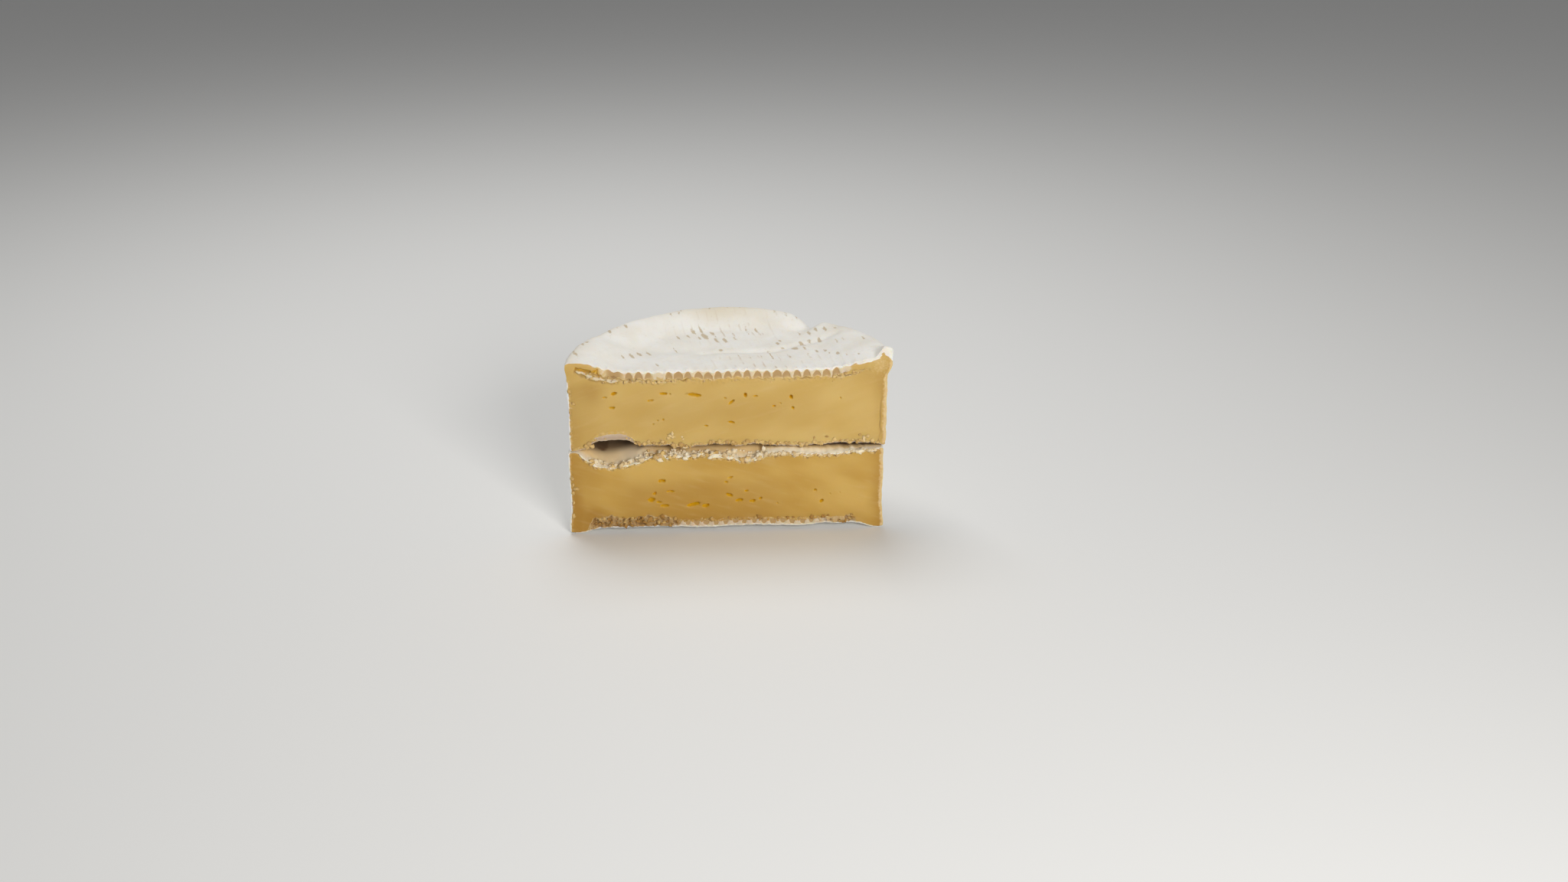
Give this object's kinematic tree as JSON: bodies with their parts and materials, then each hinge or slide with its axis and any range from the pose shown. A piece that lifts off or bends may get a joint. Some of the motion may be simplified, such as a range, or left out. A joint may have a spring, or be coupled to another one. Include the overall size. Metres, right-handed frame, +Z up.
{
  "type": "camembert wheel",
  "caption": "Soft-ripened camembert wheel with a white mould rind, cut straight across, its half wheels stacked with the straw-yellow cut faces flush.",
  "frame": {"origin": "bottom centre of the bounding box, on the surface that the cheese rests on", "axes": "+X along the cut, to the right seen from the cut face; +Y from the cut face to the round back; +Z up"},
  "size_m": [0.11, 0.0541, 0.0664],
  "materials": {
    "paste": "straw-yellow soft cheese paste, satin, slightly translucent, in a white felted mould rind"
  },
  "bodies": {
    "root": {"upper_half": "paste", "lower_half": "paste"}
  },
  "joints": []
}
